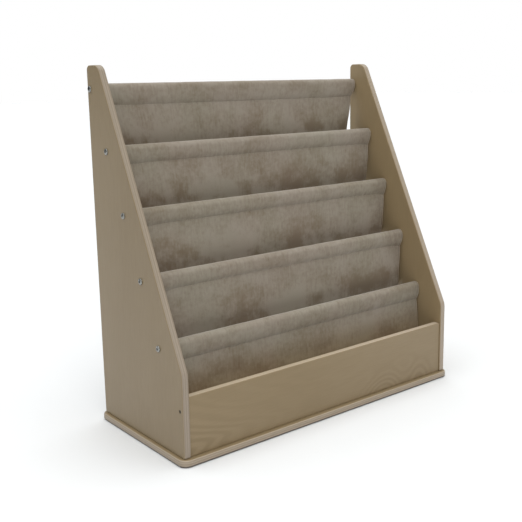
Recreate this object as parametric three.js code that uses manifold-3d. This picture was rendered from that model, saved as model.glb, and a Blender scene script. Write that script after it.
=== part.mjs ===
// Sling bookshelf for children: two plywood sides on a base board, a low front panel, five rods that
// step down and forward between the sides, and cloth slings sewn round the rods.
// Millimetres. +X to the right, +Y to the back, +Z up. The origin is on the floor under the middle.

import * as THREE from 'three';
import { mergeVertices } from 'three/addons/utils/BufferGeometryUtils.js';
import Module from 'manifold-3d';

// Base board
const baseWidth = 762;
const baseDepth = 324;
const baseThickness = 15;
const baseCornerRadius = 18;
const baseEdgeRadius = 4;
const baseMargin = 8;

// Side panels
const sideThickness = 15;
const sideHeight = 730;
const sideTopDepth = 45;
const kneeHeight = 165;
const kneeRadius = 30;
const sideTopFrontRadius = 20;
const sideTopBackRadius = 10;
const boardCornerRadius = 3;
const boardEdgeRadius = 1.5;

// Front panel
const frontHeight = 120;
const frontThickness = 15;
const frontSetback = 3;

// Rods: the top one is placed from the sides' back and top edges, the lowest one from their front and
// bottom edges, and the others lie evenly between them
const rodDiameter = 19;
const rodFromBack = 10;
const rodFromTop = 46.5;
const lowRodFromFront = 78;
const lowRodFromBottom = 198.5;
const rodEndChamfer = 1;

// Cloth
const clothThickness = 1.2;
const sleeveClearance = 0.4;
const sleeveDrop = 29;
const seamHeight = 3.5;
const seamForward = 4;
const clothSideGap = 1.5;
const pocketDepth = 125;
const hemTurn = 24;

// How far each sling's side edges draw in, from the top sling down. Each sling hangs between two rods.
const slingDrawIns = [32, 7, 6, 3];
const rodCount = slingDrawIns.length + 1;

// Batten behind the bin
const battenWidth = 22;
const battenHeight = 12;
const battenCornerRadius = 2;
const battenEdgeRadius = 1;
const battenEndGap = 6;
const binClothLean = 12;

// Connector bolts and the threaded inserts in the rod ends
const boltDiameter = 6;
const boltLength = 38;
const boltTip = 1;
const boltHeadDiameter = 13;
const boltHeadHeight = 2.6;
const boltSocketAcross = 4;
const boltSocketDepth = 1.6;
const boltHoleClearance = 0.5;
const insertDiameter = 10;
const insertLength = 15;
const insertRim = 1;

// Countersunk screws: the small dark ones at the front panel's ends and the ones under the base board
const frontScrew = { head: 7, cone: 2.2, shank: 3.6, length: 42, tip: 5, sink: 0.6, drive: 3 };
const baseScrew = { head: 9, cone: 2.6, shank: 4.4, length: 45, tip: 6, sink: 0.8, drive: 4.4 };
const battenScrew = { ...baseScrew, length: 24 };
const frontScrewFromTop = 27;
const driveSlot = 1.1;
const driveDepth = 1.5;

// Fits: seats, screw holes and how far a cutting tool overruns
const seatGap = 0.3;
const screwClearance = 0.4;
const overrun = 2;

// Rounding: straight steps in a quarter turn, a round edge, and a full turn
const cornerSteps = 4;
const edgeSteps = 2;
const rodSides = 16;
const boltSides = 14;
const screwSides = 10;

// Where the screws stand, as shares of the half width or half depth of the piece that they hold
const baseScrewShares = [-0.72, 0, 0.72];

// Places worked out from the sizes
const sideWidth = baseWidth - 2 * baseMargin;
const sideDepth = baseDepth - 2 * baseMargin;
const innerHalf = sideWidth / 2 - sideThickness;
const sideFoot = baseThickness + seatGap;
const sideTop = baseThickness + sideHeight;
const frontY = -sideDepth / 2 + frontSetback + frontThickness / 2;
const frontTop = baseThickness + frontHeight;
const halfCloth = clothThickness / 2;
const sleeveInner = rodDiameter / 2 + sleeveClearance;
const sleeveOuter = sleeveInner + clothThickness;
const rodStep = (sideDepth - rodFromBack - lowRodFromFront) / (rodCount - 1);
const rodDrop = (sideHeight - rodFromTop - lowRodFromBottom) / (rodCount - 1);
const rods = Array.from({ length: rodCount }, (_, i) => ({
  y: sideDepth / 2 - rodFromBack - i * rodStep,
  z: sideTop - rodFromTop - i * rodDrop,
}));

// Finishes
const finish = (color, roughness, metalness) =>
  new THREE.MeshStandardMaterial({ color, roughness, metalness });
const plywood = () => finish(0xc2b394, 0.5, 0);
const rodWood = () => finish(0xcdb98f, 0.6, 0);
const suede = () => finish(0x9b8f7d, 0.95, 0);
const zinc = () => finish(0xb9babb, 0.35, 1);
const blackSteel = () => finish(0x2a2723, 0.5, 1);

const wasm = await Module();
wasm.setup();

function toSolid(geometry) {
  const bare = geometry.index ? geometry.toNonIndexed() : geometry.clone();
  bare.deleteAttribute('normal');
  bare.deleteAttribute('uv');
  const merged = mergeVertices(bare, 1e-5);
  return new wasm.Manifold(new wasm.Mesh({
    numProp: 3,
    vertProperties: new Float32Array(merged.attributes.position.array),
    triVerts: new Uint32Array(merged.index.array),
  }));
}

function toGeometry(solid) {
  const mesh = solid.getMesh();
  const geometry = new THREE.BufferGeometry();
  geometry.setAttribute('position', new THREE.BufferAttribute(new Float32Array(mesh.vertProperties), 3));
  geometry.setIndex(new THREE.BufferAttribute(new Uint32Array(mesh.triVerts), 1));
  return geometry;
}

// Cuts every tool out of a geometry
function cut(geometry, tools) {
  let solid = toSolid(geometry);
  for (const tool of tools) solid = solid.subtract(toSolid(tool));
  return toGeometry(solid);
}

// An outline whose corners, given counterclockwise as [x, y, radius], are rounded
function roundedShape(corners) {
  const shape = new THREE.Shape();
  corners.forEach(([x, y, radius], i) => {
    const corner = new THREE.Vector2(x, y);
    const toPoint = ([px, py]) => new THREE.Vector2(px, py);
    const back = toPoint(corners.at(i - 1)).sub(corner).normalize();
    const ahead = toPoint(corners[(i + 1) % corners.length]).sub(corner).normalize();
    const half = back.angleTo(ahead) / 2;
    const run = radius / Math.tan(half);
    const centre = back.clone().add(ahead).normalize().multiplyScalar(radius / Math.sin(half)).add(corner);
    const start = back.clone().multiplyScalar(run).add(corner).sub(centre);
    const end = ahead.clone().multiplyScalar(run).add(corner).sub(centre);
    shape.absarc(centre.x, centre.y, radius, start.angle(), end.angle(), false);
  });
  shape.closePath();
  return shape;
}

const rectangle = (width, height, radius) => roundedShape([
  [-width / 2, -height / 2, radius],
  [width / 2, -height / 2, radius],
  [width / 2, height / 2, radius],
  [-width / 2, height / 2, radius],
]);

// A board: the outline, extruded both ways from its middle plane, with rounded edges on both faces
function board(shape, thickness, edge) {
  const geometry = new THREE.ExtrudeGeometry(shape, {
    depth: thickness - 2 * edge,
    steps: 1,
    curveSegments: cornerSteps,
    bevelEnabled: true,
    bevelThickness: edge,
    bevelSize: edge,
    bevelOffset: -edge,
    bevelSegments: edgeSteps,
  });
  return geometry.translate(0, 0, edge - thickness / 2);
}

// Turns an outline drawn in (y, z) and extruded along its own third axis so that this runs along X
const acrossWidth = new THREE.Matrix4().makeBasis(
  new THREE.Vector3(0, 1, 0),
  new THREE.Vector3(0, 0, 1),
  new THREE.Vector3(1, 0, 0),
);

const turned = (profile, sides) =>
  new THREE.LatheGeometry(profile.map(([radius, along]) => new THREE.Vector2(radius, along)), sides);

// A turned piece's own axis is +Y. These send it to the right, to the left and up.
const toRight = -Math.PI / 2;
const toLeft = Math.PI / 2;
const upwards = Math.PI / 2;

// Screws

// The screw's outline from its head's middle to its tip. Its hole has the same outline, wider by grow,
// and starts outside the surface.
function screwProfile(screw, grow) {
  const head = screw.head / 2 + grow;
  const shank = screw.shank / 2 + grow;
  const mouth = grow ? -overrun : screw.sink;
  const rim = grow ? [[head, screw.sink]] : [];
  return [
    [0, mouth],
    [head, mouth],
    ...rim,
    [shank, screw.sink + screw.cone],
    [shank, screw.length - screw.tip],
    [0, screw.length + grow],
  ];
}

function screwGeometry(screw) {
  const slot = [screw.drive, 2 * driveDepth, driveSlot];
  const place = (box) => box.translate(0, screw.sink, 0);
  const across = place(new THREE.BoxGeometry(...slot));
  const along = place(new THREE.BoxGeometry(...slot.toReversed()));
  return cut(turned(screwProfile(screw, 0), screwSides), [across, along]);
}

const screwHole = (screw) => turned(screwProfile(screw, screwClearance), screwSides);

// Bolts and inserts

function boltGeometry() {
  const head = boltHeadDiameter / 2;
  const shank = boltDiameter / 2;
  const domeShares = [[0.55, 1], [0.85, 0.86], [1, 0.5]];
  const dome = domeShares.map(([out, up]) => [out * head, -up * boltHeadHeight]);
  const body = turned([
    [0, -boltHeadHeight],
    ...dome,
    [head, 0],
    [shank, 0],
    [shank, boltLength - boltTip],
    [shank - boltTip, boltLength],
    [0, boltLength],
  ], boltSides);
  const hexagon = 6;
  const socketRadius = boltSocketAcross / 2 / Math.cos(Math.PI / hexagon);
  const socket = new THREE.CylinderGeometry(socketRadius, socketRadius, 2 * boltSocketDepth, hexagon);
  return cut(body, [socket.translate(0, -boltHeadHeight, 0)]);
}

// The insert's outline closes on itself: a bore, and a groove outside between two ribs of thread
function insertGeometry() {
  const outer = insertDiameter / 2;
  const bore = boltDiameter / 2 + screwClearance;
  const grooveShares = [0.4, 0.5, 0.6];
  const [before, middle, after] = grooveShares.map((share) => share * insertLength);
  return turned([
    [bore, 0],
    [outer, 0],
    [outer, before],
    [outer - insertRim, middle],
    [outer, after],
    [outer, insertLength],
    [bore, insertLength],
    [bore, 0],
  ], screwSides);
}

// Boards

const boltReach = boltLength - sideThickness - seatGap;
const boltHoleRadius = boltDiameter / 2 + boltHoleClearance;

// The screws under the base board: where each stands, which screw it is, and its name
const sideScrewX = innerHalf + sideThickness / 2;
const battenFront = rods.at(-1).y - seamForward - binClothLean + halfCloth + seatGap;
const battenY = battenFront + battenWidth / 2;
const baseScrewRows = [
  { name: 'left', screw: baseScrew, at: (share) => [-sideScrewX, share * sideDepth / 2] },
  { name: 'right', screw: baseScrew, at: (share) => [sideScrewX, share * sideDepth / 2] },
  { name: 'front', screw: baseScrew, at: (share) => [share * innerHalf, frontY] },
  { name: 'batten', screw: battenScrew, at: (share) => [share * innerHalf, battenY] },
];
const baseScrews = baseScrewRows.flatMap(({ name, screw, at }) =>
  baseScrewShares.map((share, i) => ({ name: `base_screw_${name}_${i + 1}`, screw, place: at(share) })));

const baseScrewHoles = (row) => baseScrews
  .filter(({ name }) => name.startsWith(`base_screw_${row}`))
  .map(({ screw, place: [x, y] }) => screwHole(screw).rotateX(upwards).translate(x, y, 0));

function baseBoard() {
  const plate = board(rectangle(baseWidth, baseDepth, baseCornerRadius), baseThickness, baseEdgeRadius);
  return cut(plate.translate(0, 0, baseThickness / 2), baseScrewHoles(''));
}

// The outline of a side in (y, z): upright back, flat top, slanted front edge, knee, upright front
const sideOutline = () => roundedShape([
  [-sideDepth / 2, sideFoot, boardCornerRadius],
  [sideDepth / 2, sideFoot, boardCornerRadius],
  [sideDepth / 2, sideTop, sideTopBackRadius],
  [sideDepth / 2 - sideTopDepth, sideTop, sideTopFrontRadius],
  [-sideDepth / 2, baseThickness + kneeHeight, kneeRadius],
]);

const frontScrewHole = (side) => screwHole(frontScrew)
  .rotateZ(side < 0 ? toRight : toLeft)
  .translate(side * sideWidth / 2, frontY, frontTop - frontScrewFromTop);

function sidePanel(side, row) {
  const middle = side * (innerHalf + sideThickness / 2);
  const plate = board(sideOutline(), sideThickness, boardEdgeRadius).applyMatrix4(acrossWidth);
  const holeLength = sideThickness + 2 * overrun;
  const boltHoles = rods.map(({ y, z }) =>
    new THREE.CylinderGeometry(boltHoleRadius, boltHoleRadius, holeLength, boltSides)
      .rotateZ(toRight)
      .translate(middle, y, z));
  return cut(plate.translate(middle, 0, 0), [...boltHoles, frontScrewHole(side), ...baseScrewHoles(row)]);
}

function frontPanel() {
  const width = 2 * (innerHalf - seatGap);
  const height = frontHeight - seatGap;
  const plate = board(rectangle(width, height, boardCornerRadius), frontThickness, boardEdgeRadius)
    .rotateX(upwards)
    .translate(0, frontY, frontTop - height / 2);
  return cut(plate, [frontScrewHole(-1), frontScrewHole(1), ...baseScrewHoles('front')]);
}

const battenFoot = baseThickness + clothThickness + 2 * seatGap;

function binBatten() {
  const length = 2 * (innerHalf - battenEndGap);
  const plate = board(rectangle(length, battenWidth, battenCornerRadius), battenHeight, battenEdgeRadius)
    .translate(0, battenY, battenFoot + battenHeight / 2);
  return cut(plate, baseScrewHoles('batten'));
}

// A rod lies along X. Each end is bored for its insert and, deeper, for the bolt's tip.
function rodGeometry() {
  const radius = rodDiameter / 2;
  const half = innerHalf - seatGap;
  const seat = insertDiameter / 2 + seatGap;
  const seatBottom = half - insertLength - 2 * seatGap;
  const bore = boltDiameter / 2 + screwClearance;
  const boreBottom = innerHalf - boltReach - overrun;
  const end = [
    [0, boreBottom],
    [bore, boreBottom],
    [bore, seatBottom],
    [seat, seatBottom],
    [seat, half],
    [radius - rodEndChamfer, half],
    [radius, half - rodEndChamfer],
  ];
  const otherEnd = end.map(([out, along]) => [out, -along]);
  return turned([...otherEnd, ...end.toReversed()], rodSides).rotateZ(toRight);
}

// Cloth

const clothHalf = innerHalf - clothSideGap;

// The drop outline of a sleeve in (y, z), about its rod: round over the rod, then straight to the seam.
// Its points run from the seam's back corner over the rod to the seam's front corner.
function sleeveOutline(radius, seamHalf, seamZ) {
  const turn = (y) => {
    const reach = Math.hypot(y, seamZ);
    return [Math.atan2(seamZ, y), Math.acos(radius / reach)];
  };
  const [backAim, backOpen] = turn(seamHalf - seamForward);
  const [frontAim, frontOpen] = turn(-seamHalf - seamForward);
  const from = backAim + backOpen;
  const to = frontAim - frontOpen + 2 * Math.PI;
  const arcSteps = rodSides * 3 / 4;
  const arc = Array.from({ length: arcSteps + 1 }, (_, i) => from + (to - from) * i / arcSteps)
    .map((angle) => [radius * Math.cos(angle), radius * Math.sin(angle)]);
  return [[seamHalf - seamForward, seamZ], ...arc, [-seamHalf - seamForward, seamZ]];
}

const distance = ([y0, z0], [y1, z1]) => Math.hypot(y1 - y0, z1 - z0);

// Both sides of a strip of cloth along its middle line
function stripSides(line) {
  const side = (sign) => line.map(([y, z], i) => {
    const [y0, z0] = line[Math.max(i - 1, 0)];
    const [y1, z1] = line[Math.min(i + 1, line.length - 1)];
    const along = distance([y0, z0], [y1, z1]);
    return [y - sign * halfCloth * (z1 - z0) / along, z + sign * halfCloth * (y1 - y0) / along];
  });
  return [side(1), side(-1)];
}

// One cloth panel: a sleeve with its rod's tunnel and a strip that hangs from the seam along a line.
// Its side edges draw in by drawIn, most where the panel has dropped half its length.
function clothPanel(line, drawIn = 0) {
  const seamHalf = clothThickness;
  const [left, right] = stripSides(line);
  const seamFoot = [seamHalf, -seamHalf].map((y) => [y - seamForward, line[0][1]]);
  const sleeve = [seamFoot[0], ...sleeveOutline(sleeveOuter, seamHalf, -sleeveDrop), seamFoot[1]];
  const outer = [...sleeve, ...right, ...left.toReversed()];
  const shape = new THREE.Shape(outer.map(([y, z]) => new THREE.Vector2(y, z)));
  const tunnel = sleeveOutline(sleeveInner, 0, -sleeveDrop).slice(1);
  shape.holes.push(new THREE.Path(tunnel.map(([y, z]) => new THREE.Vector2(y, z))));
  const geometry = new THREE.ExtrudeGeometry(shape, { depth: 2 * clothHalf, steps: 1, bevelEnabled: false })
    .translate(0, 0, -clothHalf)
    .applyMatrix4(acrossWidth);
  const place = geometry.attributes.position;
  for (let i = 0; i < place.count; i += 1) {
    const share = dropShare(line, place.getY(i), place.getZ(i));
    place.setX(i, place.getX(i) * (1 - drawIn / clothHalf * Math.sin(Math.PI * share)));
  }
  return geometry;
}

// How far along the cloth a point of a panel lies below its rod, as a share of the panel's whole drop
function dropShare(line, y, z) {
  const seamZ = line[0][1];
  const lengths = line.map((point, i) => (i ? distance(point, line[i - 1]) : -seamZ));
  const total = (list) => list.reduce((sum, length) => sum + length, 0);
  const far = line.map((point) => distance(point, [y, z]));
  const nearest = far.indexOf(Math.min(...far));
  const dropped = z > seamZ ? Math.max(0, -z) : total(lengths.slice(0, nearest + 1));
  return dropped / total(lengths);
}

// A sling's strip: down as the pocket's rear wall, round its bottom, and up to the next rod's seam,
// where its edge lies behind that seam.
function pocketLine() {
  const rearY = -seamForward;
  const frontEdgeY = rearY - rodStep + clothThickness + seatGap + halfCloth;
  const radius = (rearY - frontEdgeY) / 2;
  const centreY = (rearY + frontEdgeY) / 2;
  const centreZ = -rodDrop - pocketDepth + radius;
  const topZ = -sleeveDrop - seamHeight;
  const frontTopZ = -rodDrop - sleeveDrop - seatGap;
  const wallSteps = 8;
  const bottomSteps = 10;
  const wall = (y, from, to) =>
    Array.from({ length: wallSteps }, (_, i) => [y, from + (to - from) * i / wallSteps]);
  const bottom = Array.from({ length: bottomSteps + 1 }, (_, i) => Math.PI * i / bottomSteps)
    .map((angle) => [centreY + radius * Math.cos(angle), centreZ - radius * Math.sin(angle)]);
  const front = wall(frontEdgeY, frontTopZ, centreZ).toReversed();
  return [...wall(rearY, topZ, centreZ), ...bottom, ...front];
}

// The bin's cloth: from the lowest sleeve to the batten's top, down its face, and back under it
function binClothLine() {
  const rod = rods.at(-1);
  const faceY = battenFront - halfCloth - seatGap - rod.y;
  const layZ = baseThickness + seatGap + halfCloth - rod.z;
  const battenTopZ = battenFoot + battenHeight + clothThickness - rod.z;
  const topZ = -sleeveDrop - seamHeight;
  const bend = 2 * clothThickness;
  const hang = [[-seamForward, topZ], [faceY, battenTopZ]];
  const inset = bend * (1 - Math.SQRT1_2);
  const corner = [[faceY, layZ + bend], [faceY + inset, layZ + inset], [faceY + bend, layZ]];
  return [...hang, ...corner, [faceY + hemTurn, layZ]];
}

// The batten's screws pass through the cloth under it
function binBackCloth() {
  const rod = rods.at(-1);
  const holes = baseScrewHoles('batten').map((hole) => hole.translate(0, -rod.y, -rod.z));
  return cut(clothPanel(binClothLine()), holes);
}

// Assembly

const bookshelf = new THREE.Group();

function add(name, geometry, material, place = [0, 0, 0], turn = [0, 0, 0]) {
  const mesh = new THREE.Mesh(geometry, material);
  mesh.name = name;
  mesh.position.set(...place);
  mesh.rotation.set(...turn);
  bookshelf.add(mesh);
}

add('base_board', baseBoard(), plywood());
add('side_panel_left', sidePanel(-1, 'left'), plywood());
add('side_panel_right', sidePanel(1, 'right'), plywood());
add('front_panel', frontPanel(), plywood());
add('bin_batten', binBatten(), rodWood());

rods.forEach(({ y, z }, i) => {
  const number = i + 1;
  add(`rod_${number}`, rodGeometry(), rodWood(), [0, y, z]);
  for (const [side, name, turn] of [[-1, 'left', toRight], [1, 'right', toLeft]]) {
    const face = side * (sideWidth / 2 + seatGap);
    const rodEnd = side * (innerHalf - 2 * seatGap);
    add(`rod_bolt_${name}_${number}`, boltGeometry(), zinc(), [face, y, z], [0, 0, turn]);
    add(`rod_insert_${name}_${number}`, insertGeometry(), zinc(), [rodEnd, y, z], [0, 0, turn]);
  }
});

slingDrawIns.forEach((drawIn, i) => {
  add(`sling_${i + 1}`, clothPanel(pocketLine(), drawIn), suede(), [0, rods[i].y, rods[i].z]);
});
add('bin_back_cloth', binBackCloth(), suede(), [0, rods.at(-1).y, rods.at(-1).z]);

for (const [side, name, turn] of [[-1, 'left', toRight], [1, 'right', toLeft]]) {
  const place = [side * sideWidth / 2, frontY, frontTop - frontScrewFromTop];
  add(`front_screw_${name}`, screwGeometry(frontScrew), blackSteel(), place, [0, 0, turn]);
}
for (const { name, screw, place: [x, y] } of baseScrews) {
  add(name, screwGeometry(screw), zinc(), [x, y, 0], [upwards, 0, 0]);
}

export default bookshelf;
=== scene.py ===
import math
from contextlib import contextmanager

import bmesh
import bpy
import numpy as np
from mathutils import Matrix, Vector


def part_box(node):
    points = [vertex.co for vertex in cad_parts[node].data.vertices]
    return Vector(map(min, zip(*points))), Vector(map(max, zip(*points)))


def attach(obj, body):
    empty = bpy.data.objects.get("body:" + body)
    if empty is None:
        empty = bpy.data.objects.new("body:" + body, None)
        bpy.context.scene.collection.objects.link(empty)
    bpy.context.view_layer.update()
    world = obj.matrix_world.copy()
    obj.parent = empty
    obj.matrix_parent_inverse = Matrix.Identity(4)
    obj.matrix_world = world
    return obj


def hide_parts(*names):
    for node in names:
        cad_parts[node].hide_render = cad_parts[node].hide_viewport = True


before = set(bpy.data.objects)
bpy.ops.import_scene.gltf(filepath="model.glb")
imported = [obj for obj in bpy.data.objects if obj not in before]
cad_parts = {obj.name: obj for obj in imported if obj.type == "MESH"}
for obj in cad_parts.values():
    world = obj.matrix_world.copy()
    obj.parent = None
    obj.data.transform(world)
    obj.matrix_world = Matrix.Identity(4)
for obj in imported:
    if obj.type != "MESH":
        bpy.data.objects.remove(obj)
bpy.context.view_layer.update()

MM = 0.001
TOLERANCE = 0.01 * MM
ROOT = "root"

# An edge runs along an axis when this share of its length does
ALONG = 0.999

# Rods and slings, counted from the top
ROD_COUNT = 5
SLING_COUNT = ROD_COUNT - 1
SIDES = {"left": -1, "right": 1}

# Roundings are radii and segments. Those of a side's outline go from its foot in front round the back
SIDE_TOP_DEPTH = 45 * MM
SIDE_KNEE_HEIGHT = 165 * MM
SIDE_ROUNDINGS = [(3 * MM, 3), (3 * MM, 3), (10 * MM, 8), (20 * MM, 8), (30 * MM, 8)]
SIDE_EDGE = (2.2 * MM, 5)
BASE_CORNER, BASE_EDGE = (18 * MM, 12), (4 * MM, 6)
FRONT_CORNER, FRONT_EDGE = (3 * MM, 4), (1.1 * MM, 3)
BATTEN_CORNER, BATTEN_EDGE = (2 * MM, 3), (1 * MM, 3)

# The plywood's figure: how strong it is, and how closely its rings lie
FIGURE = 0.06
FRONT_FIGURE = 0.12
RINGS = 85.0

# Swellings in the front panel's figure: centre and reach, both along and across the grain, and height
FRONT_SWELLS = [((0.175, 0.0), (0.1, 0.1), 0.4), ((0.285, 0.01), (0.075, 0.085), 0.28),
                ((-0.4, 0.0), (0.26, 0.16), 0.2)]
SWELL_FIGURE = 0.58

# Painted light: the left side is painted darker than the right one, for the different light falling on them
SIDE_PAINTED_LIGHT = 0.11

# Painted light: places along the grain where a board starts to be painted paler, and where it is palest, for
# the light falling more on that end
SIDE_LIGHT_GRADIENT = (0.5, 0.1)
FRONT_LIGHT_GRADIENT = (-0.1, 0.3)
LIGHT_GRADIENT_TINT = (1.07, 1.085, 1.15, 1)

# Face veneers, glue lines as a share of half the board, and the tone of the cut edges
GLUE_LINE = 0.015
VENEER = 0.7 * MM
BASE_VENEER = 0.3 * MM
PLAIN = (1, 1, 1, 1)
# Partly painted light: the front panel's cut edges are paler than its ply alone, for the light from above on
# its top edge
FRONT_EDGE_TONE_AND_LIGHT = (1.38, 1.38, 1.33, 1)
BASE_EDGE_TONE = (1.1, 1.11, 1.13, 1)

# Painted shadow: heights between which the contact shadow painted on the base board's lower rim fades out
CONTACT_SHADOW_RIM = (2.3 * MM, 5.4 * MM)
CONTACT_SHADOW_COLOUR = (0.07, 0.055, 0.042, 1)

# Bolts, rods and screws
BOLT_HEAD_RADIUS = 6.5 * MM
BOLT_HEAD_HEIGHT = 2.6 * MM
BOLT_HEAD_ROUNDING = (1.5 * MM, 6)
BOLT_DOME_STEPS = [(1.1 * MM, 0.35 * MM), (1.2 * MM, 0.25 * MM)]
BOLT_RADIUS = 3 * MM
BOLT_LENGTH = 38 * MM
BOLT_TIP = 1 * MM
BOLT_TIP_SHARE = 0.7
BOLT_SOCKET_RADIUS = 2.6 * MM
BOLT_SOCKET_DEPTH = 2.8 * MM
BOLT_HOLE_RADIUS = 3.5 * MM
BOLT_HOLE_FACETS = 24
ROD_END_ROUNDING = (1 * MM, 3)
INSERT_HOLE_RADIUS = 5.3 * MM
INSERT_HOLE_DEPTH = 15.6 * MM
ROD_BORE_RADIUS = 3.4 * MM
ROD_BORE_DEPTH = 25.6 * MM
BASE_SHANK_SHARE = 0.49
FRONT_SHANK_SHARE = 0.515
SCREW_FACETS = 32
SCREW_CONE = 2.6 * MM
SCREW_TIP = 6 * MM
SCREW_TIP_SHARE = 0.06
SCREW_CLEARANCE = 0.4 * MM
SCREW_RECESS_WIDTH = 1.1 * MM
SCREW_RECESS_DEPTH = 1.5 * MM
OVERRUN = 2 * MM

# Cloth
CLOTH_THICKNESS = 1.2 * MM
CLOTH_SIDE_GAP = 1.5 * MM
SEAT_GAP = 0.3 * MM
SLEEVE_RADIUS = 10.4 * MM
SLEEVE_BULGE = 0.9 * MM
SLEEVE_LEAVES_BACK = math.radians(-12)
BULGE_PULL = 15 * MM
SEAM_DROP = 31 * MM
SEAM_FORWARD = 4 * MM
SEAM_LAYER = 1.25 * MM
SEAM_ALLOWANCE = 7 * MM
SEAM_PULL = (5 * MM, 6 * MM)
CLOTH_MAP = "cut_cloth"

# A sling's wall hangs straight from that many seam drops below the rod, and ends that far above the next seam
WALL_FROM = 1.8
WALL_END_RISE = 2 * MM

# How much higher each seam rides in the middle, and how far from it and from the edges that shows
SEAM_RISES = [rise * MM for rise in (-2, 5, 7.5, 7, 0)]
SEAM_SLIDE = 24 * MM
WALL_SLIDE = 60 * MM
SLIDE_WIDTH = 30 * MM

# Hems and stitches. Shares are of the cloth's thickness, or for a stitch's rings of its length and radius
HEM_WIDTH = 9 * MM
HEM_STEPS = [step * MM for step in (0, 0.5, 1.2, 1.8, 2.6, 4, 5.5, 7, 8.2)]
HEM_MARGIN = 1 * MM
HEM_STEP_UP = 0.5 * MM
FOLD_SHARE = 0.95
FOLD_BULGE_SHARE = 0.8
FOLD_TURNS = [60, 25, 0, -25, -60]
FOLD_STITCH_SHARE = 0.75
HEM_STITCH_INSET = 7 * MM
END_STITCH_INSET = 4 * MM
STITCH_GROOVE = 0.32 * MM
GROOVE_WIDTH = 0.9 * MM
STITCH_PITCH = 3.6 * MM
STITCH_LENGTH = 2.7 * MM
STITCH_RADIUS = 0.28 * MM
STITCH_SIDES = 5
STITCH_RING_SHARES = [(-1, -0.5, 0.55), (-0.45, 0.55, 1), (0.45, 0.55, 1), (1, -0.5, 0.55)]

# Places along the roll, in metres, where each cloth is cut, from the top: they set where its clouds lie
ROLL_PLACES = [22.21, 8.16, 80.69, 96.3, 7.24]
ROLL_MARGIN = 74 * MM

# From sleeve to wall the cloth changes: between which places below the rod, the wall's tint, which is painted
# shade and bounce light low in the pocket, and its clouding
SLING_LOOK = ((31 * MM, 141 * MM), (1.0, 0.98, 0.94, 1), 1.9)
BIN_LOOK = ((31 * MM, 106 * MM), (0.97, 0.835, 0.61, 1), 1.1)
# Painted shade: the mottling's middle on the sleeve and low down, lower low down so the wall is painted
# darker
CLOTH_SHADES = (0.53, 0.514)
SLEEVE_TINT = (0.94, 0.956, 0.947, 1)
SLEEVE_CLOUDING = 0.6

# Deep in the pocket the clouds are calmer: between which places, and how strong they are below
DEEP_FROM = (122 * MM, 155 * MM)
DEEP_CLOUDING = 0.9

# Painted shade: the low corners are painted darker: how far in from the edge, where below the rod, and by how
# much
CORNER_WIDTH = 85 * MM
CORNER_HEIGHT = (71 * MM, 131 * MM)
CORNER_SHADE = 0.13

# Painted highlight: the folded side edges are painted paler where light catches them: how far from the edge
# it is whole, and where it ends
HEM_HIGHLIGHT = (1.5 * MM, 3.5 * MM)
HEM_HIGHLIGHT_TINT = (1.25, 1.24, 1.22, 1)

# How much each cloth is drawn in at its sides, and how far its wall bellies out
DRAW_INS = [reach * MM for reach in (27, 12, 11, 8, 0)]
BELLIES = [reach * MM for reach in (3.2, 3.6, 3.4, 3.8, 2)]
BELLY_LENGTH = 150 * MM
BELLY_SHAPE = 0.7

# How far a seam pinches the side edges in, and its reach up the sleeve and down the wall
SEAM_PINCH = 1.8 * MM
PINCH_REACHES = (8 * MM, 70 * MM)

# The side edges curl back: how wide and from how far below the seam, by how much, and more where drawn in
CURL_WIDTH = 45 * MM
CURL_LENGTH = 60 * MM
CURL_DEPTH = 1.2 * MM
CURL_DRAW_SHARE = 0.12

# A soft field adds up that many waves, each with its length drawn between these shares of the wanted one
FIELD_WAVES = 14
FIELD_LENGTHS = (0.7, 1.5)

# Soft waves: length, share of the way down the cloth that counts, height, and number of the random draw
WALL_WAVES = [(300 * MM, 1, 1.9 * MM, 0), (105 * MM, 0.6, 0.7 * MM, 1), (42 * MM, 0.8, 0.16 * MM, 5)]
SLEEVE_WAVES = (60 * MM, 1, 0.15 * MM, 4)
FREE_LENGTH = 40 * MM

# Gathers at the seams are waves too, with a reach, the broad ones with their middle above the seam
FINE_GATHERS, FINE_REACH = (12 * MM, 0.2, 0.28 * MM, 2), 7 * MM
BROAD_GATHERS, BROAD_RISE, BROAD_REACH = (36 * MM, 0.12, 0.6 * MM, 3), 9 * MM, 15 * MM
LAST_GATHERS, LAST_REACH = (14 * MM, 0.2, 0.25 * MM, 6), 8 * MM

# Slanting pulls near the sleeve's ends
PULL_LENGTH, PULL_SLANT, PULL_HEIGHT = 4.4 * MM, 0.8, 0.3 * MM
PULL_RISE, PULL_REACH_UP, PULL_REACH_IN = 20 * MM, 14 * MM, 34 * MM

# The crease that the seam's stitches press in
CREASE_DEPTH, CREASE_WIDTH = 0.2 * MM, 1.2 * MM

# How finely the cloth is divided: along its line, across it, and in rows by their distance from a seam
LINE_STEP = 0.25 * MM
SOFTENING = 11
COLUMN_STEP = 3 * MM
ROW_STEPS = [(6 * MM, 0.9 * MM), (34 * MM, 1.9 * MM), (math.inf, 4 * MM)]

# Camera, solved from the photograph's edges, in the frame's own axes
CAMERA_AZIMUTH = math.radians(-38.31)
CAMERA_ELEVATION = math.radians(11.13)
CAMERA_ROLL = math.radians(-1.05)
CAMERA_TARGET = Vector((-0.06025, 0, 0.36547))
CAMERA_DISTANCE = 1.78705
CAMERA_LENS = 57.01
CAMERA_SENSOR = 36
CAMERA_REACH = 100
PHOTO_SIDE = 522
PHOTO_CENTRE_ROW = 242.64

# Light of the dome, overhead and added all round, and the floor
DOME_TOP = 2.8
DOME_EDGE = 0.06
DOME_TINT = (0.98, 1, 1.01, 1)
FLOOR_SIZE = 60
FLOOR_WHITENESS = 0.72

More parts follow.
